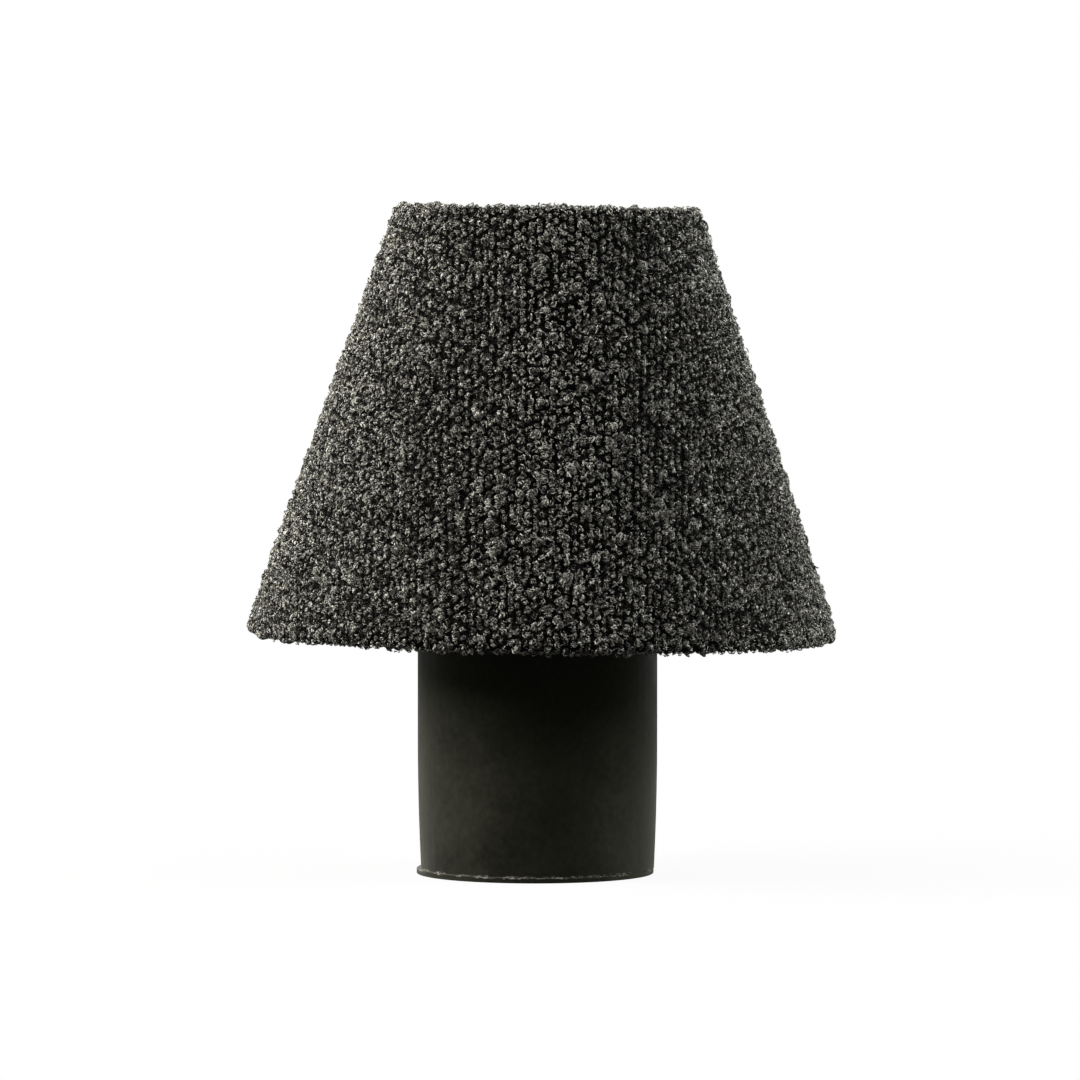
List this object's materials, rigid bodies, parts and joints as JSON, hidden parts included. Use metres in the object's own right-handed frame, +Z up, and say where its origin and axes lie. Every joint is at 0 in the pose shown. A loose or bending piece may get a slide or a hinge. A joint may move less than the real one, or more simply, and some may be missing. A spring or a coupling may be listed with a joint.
{
  "type": "candle lamp with shade",
  "caption": "Candle lamp: a leather-covered round pot with a glass candle, and a wide conical shade in looped charcoal cloth on a wire carrier.",
  "frame": {"origin": "middle of the pot's underside, on the surface that it stands on", "axes": "+Z up along the pot's axis; +Y away from the picture's camera, towards the seams; +X to the camera's right"},
  "size_m": [0.1964, 0.1972, 0.2239],
  "materials": {
    "leather": "satin black, smooth grain",
    "can_steel": "drawn sheet, satin",
    "glass": "clear, smooth",
    "wax": "cast paraffin wax, soft sheen",
    "wick_cotton": "braided waxed cotton",
    "tab_steel": "tinned sheet",
    "black_wire": "satin black powder coat",
    "ring_wire": "galvanised wire",
    "liner": "matt off-white laminate",
    "boucle": "charcoal looped wool"
  },
  "bodies": {
    "base": {"base_disc": "leather", "leather_sleeve": "leather", "pot_can": "can_steel"},
    "candle": {"candle_glass": "glass", "candle_wax": "wax", "wick": "wick_cotton", "wick_tab": "tab_steel"},
    "carrier": {"carrier_collar": "black_wire", "carrier_leg_1": "black_wire", "carrier_leg_2": "black_wire", "carrier_leg_3": "black_wire", "carrier_hoop": "black_wire"},
    "shade": {"shade_top_ring": "ring_wire", "shade_bottom_ring": "ring_wire", "shade_liner": "liner", "shade_fabric": "boucle"}
  },
  "joints": [
    {"name": "candle_lift", "type": "slide", "parent": "base", "child": "candle", "axis": [0, 0, 1], "range_m": [0, 0.23]},
    {"name": "carrier_turn", "type": "hinge", "parent": "base", "child": "carrier", "pos_m": [0, 0, 0.1], "axis": [0, 0, 1], "continuous": true},
    {"name": "shade_lift", "type": "slide", "parent": "carrier", "child": "shade", "axis": [0.0159, 0, 0.9999], "range_m": [0, 0.135]}
  ]
}
